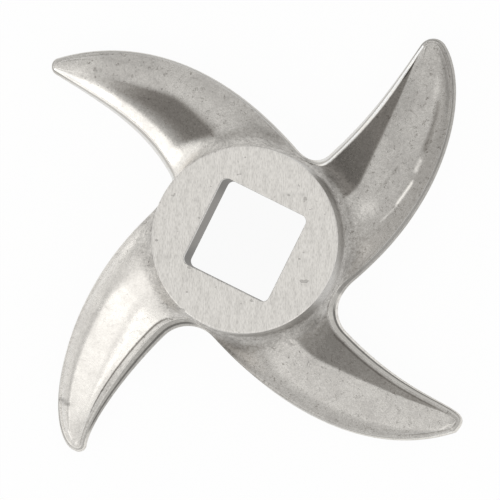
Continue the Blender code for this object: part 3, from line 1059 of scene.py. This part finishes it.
def buildKnife():
    sector = bpy.data.objects.new("sectorSource", buildSectors())
    bpy.context.scene.collection.objects.link(sector)
    modifier = sector.modifiers.new("turnedArms", "NODES")
    modifier.node_group = buildKnifeTree()
    for item in modifier.node_group.interface.items_tree:
        if item.in_out == "INPUT" and item.name in knifeTree:
            modifier[item.identifier] = knifeTree[item.name][1]
    bpy.context.view_layer.update()
    evaluated = sector.evaluated_get(bpy.context.evaluated_depsgraph_get())
    mesh = bpy.data.meshes.new_from_object(evaluated)
    bpy.data.objects.remove(sector, do_unlink=True)
    knife = bpy.data.objects.new("knife", mesh)
    bpy.context.scene.collection.objects.link(knife)
    return knife


def keepInBox(mesh, corners):
    points = np.zeros(len(mesh.vertices) * 3, np.float32)
    mesh.vertices.foreach_get("co", points)
    points = np.clip(points.reshape(-1, 3), corners[0], corners[1])
    mesh.vertices.foreach_set("co", points.ravel())


knife = buildKnife()
keepInBox(knife.data, cadBox)
knife.data.shade_smooth()
knife.data.set_sharp_from_angle(angle=math.radians(rowsAndColumns["sharpAngleDeg"]))
knife.data.update()
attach(knife, "root")
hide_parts("grinder_knife")
print("knife built,", len(knife.data.polygons), "faces")


# Floor: pale, and nearly as white as the background where the camera, metal or glass looks at it

floorLook = {
    "radius": 3.0,
    "cornerStepDeg": 5.0,
    "below": 0.02,
    "colour": (0.9, 0.9, 0.9, 1.0),
    "whiteShare": 0.94,
}


def buildFloor():
    corners = np.arange(0, 360, floorLook["cornerStepDeg"])
    rim = [Vector((*polar(floorLook["radius"], corner), 0)) for corner in corners]
    mesh = bpy.data.meshes.new("floor")
    mesh.from_pydata(rim, [], [list(range(len(rim)))])
    mesh.transform(Matrix.Translation((0, 0, -floorLook["below"] * millimetre)))
    floor = bpy.data.objects.new("floor", mesh)
    bpy.context.scene.collection.objects.link(floor)
    material, shader, bench = newMaterial("paleFloor")
    bench.tree.nodes.remove(shader)
    output = bench.tree.nodes["Material Output"]
    seen = [bench.add("ShaderNodeLightPath", output=name)
            for name in ("Is Camera Ray", "Is Glossy Ray", "Is Transmission Ray")]
    share = (seen[0] + seen[1] + seen[2]).clamped() * floorLook["whiteShare"]
    pale = bench.add("ShaderNodeBsdfDiffuse", None, {"Color": floorLook["colour"]})
    white = bench.add("ShaderNodeEmission", None, {"Color": (1, 1, 1, 1), "Strength": 1.0})
    mixed = bench.add("ShaderNodeMixShader", None, {0: share, 1: pale, 2: white})
    bench.tree.links.new(mixed.socket, output.inputs["Surface"])
    mesh.materials.append(material)


buildFloor()
print("floor laid")


# Studio: a pale tent with brighter and darker sides, and soft lamps. Directions as in the picture

studio = {
    "level": 0.95,
    "colour": (1.0, 0.995, 0.985, 1.0),
    "panels": [
        {"azimuthDeg": 127, "elevationDeg": 25, "insideDeg": 10, "outsideDeg": 18, "level": 0.4},
        {"azimuthDeg": 138, "elevationDeg": 4, "insideDeg": 6, "outsideDeg": 10, "level": 1.8},
        {"azimuthDeg": 39, "elevationDeg": 34, "insideDeg": 8, "outsideDeg": 16, "level": 0.5},
        {"azimuthDeg": 12, "elevationDeg": 16, "insideDeg": 8, "outsideDeg": 18, "level": 0.6},
        {"azimuthDeg": 212, "elevationDeg": 24, "insideDeg": 12, "outsideDeg": 18, "level": 1.6},
        {"azimuthDeg": 303, "elevationDeg": 30, "insideDeg": 10, "outsideDeg": 18, "level": 1.3},
        {"azimuthDeg": 242, "elevationDeg": 62, "insideDeg": 10, "outsideDeg": 18, "level": 1.3},
        {"azimuthDeg": 194, "elevationDeg": 43, "insideDeg": 9, "outsideDeg": 18, "level": 0.6},
    ],
    "lamps": [
        {"azimuthDeg": 214, "elevationDeg": 26, "away": 0.6, "size": 0.2, "level": 0.3},
        {"azimuthDeg": 300, "elevationDeg": 34, "away": 0.6, "size": 0.2, "level": 0.3},
    ],
}


def panelShare(bench, way, panel):  # 1 inside a panel of the tent, 0 outside it
    towards = pictureDirection(panel["azimuthDeg"], panel["elevationDeg"])
    settings = {"operation": "DOT_PRODUCT"}
    facing = bench.add("ShaderNodeVectorMath", settings, {0: way, 1: towards}, output="Value")
    outside, inside = [math.cos(math.radians(panel[name])) for name in ("outsideDeg", "insideDeg")]
    return facing.step(outside, inside)


def buildWorld():
    world = bpy.data.worlds.new("tent")
    bpy.context.scene.world = world
    world.use_nodes = True
    bench = Bench(world.node_tree)
    way = bench.add("ShaderNodeTexCoord", output="Generated")
    level = studio["level"]
    for panel in studio["panels"]:
        level = level + panelShare(bench, way, panel) * (panel["level"] - level)
    background = world.node_tree.nodes["Background"]
    bench.tree.links.new(level.socket, background.inputs["Strength"])
    background.inputs["Color"].default_value = studio["colour"]


def buildLamps():
    for number, values in enumerate(studio["lamps"]):
        light = bpy.data.lights.new(f"softbox{number}", "AREA")
        light.shape = "SQUARE"
        light.size = values["size"]
        light.energy = values["level"] * math.pi * values["size"] ** 2
        lamp = bpy.data.objects.new(f"softbox{number}", light)
        bpy.context.scene.collection.objects.link(lamp)
        towards = pictureDirection(values["azimuthDeg"], values["elevationDeg"])
        lamp.location = towards * values["away"]
        lamp.rotation_euler = towards.to_track_quat("Z", "Y").to_euler()
        lamp.visible_camera = False


buildWorld()
buildLamps()
print("studio lit")


# Camera: almost straight above, as the photograph was taken

cameraSetting = {
    "leanX": 0.0966,
    "leanY": -0.0378,
    "away": 1.8,
    "pixelsPerMetre": 7438.0,
    "pixels": 500,
    "centre": (256.1, 244.3),
    "sensor": 36.0,
    "clipEnd": 20.0,
}


def buildCamera():
    turn = Matrix.Rotation(math.radians(pictureTurnDeg), 3, "Z")
    right, up = turn.col[0], turn.col[1]
    towards = (right * cameraSetting["leanX"] + up * cameraSetting["leanY"] + Vector((0, 0, 1))).normalized()
    side = up.cross(towards).normalized()
    facing = Matrix((side, towards.cross(side), towards)).transposed().to_4x4()
    data = bpy.data.cameras.new("camera")
    data.sensor_width = cameraSetting["sensor"]
    seen = cameraSetting["pixels"] / cameraSetting["pixelsPerMetre"]
    data.lens = cameraSetting["sensor"] * cameraSetting["away"] / seen
    half = cameraSetting["pixels"] / 2
    data.shift_x = -(cameraSetting["centre"][0] - half) / cameraSetting["pixels"]
    data.shift_y = (cameraSetting["centre"][1] - half) / cameraSetting["pixels"]
    data.clip_end = cameraSetting["clipEnd"]
    camera = bpy.data.objects.new("camera", data)
    bpy.context.scene.collection.objects.link(camera)
    camera.matrix_world = Matrix.Translation(towards * cameraSetting["away"]) @ facing
    bpy.context.scene.camera = camera


buildCamera()
bpy.context.scene.view_settings.view_transform = "Standard"
print("camera placed")
